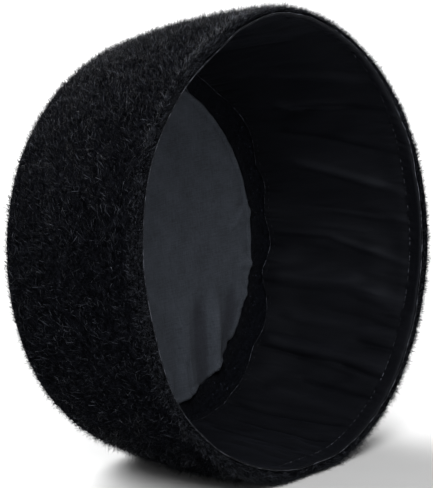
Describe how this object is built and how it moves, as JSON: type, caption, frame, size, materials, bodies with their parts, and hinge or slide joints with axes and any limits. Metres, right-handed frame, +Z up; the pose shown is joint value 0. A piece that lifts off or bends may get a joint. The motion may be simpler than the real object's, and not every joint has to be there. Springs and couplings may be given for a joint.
{
  "type": "prayer cap",
  "caption": "Round pillbox prayer cap of short black fur with a flat crown, a rolled satin hem band, a gathered satin side lining and a woven crown lining, lying on its side, open to the front.",
  "frame": {"origin": "on the surface that the cap rests on, under the middle of its box", "axes": "+Z up; the cap lies on its side with its opening towards -Y, tipped up 7.9 degrees by the taper of its wall; +X is to the right of someone looking in"},
  "size_m": [0.1941, 0.1052, 0.1912],
  "materials": {
    "black_fur": "short black fur pile",
    "black_satin": "soft satin sheen",
    "dark_knit": "fuzzy knitted backing",
    "charcoal_cloth": "matt plain weave"
  },
  "bodies": {
    "root": {"fur_side_band": "black_fur", "fur_crown": "black_fur", "hem_band": "black_satin", "side_lining": "black_satin", "seam_band": "dark_knit", "crown_lining": "charcoal_cloth"}
  },
  "joints": []
}
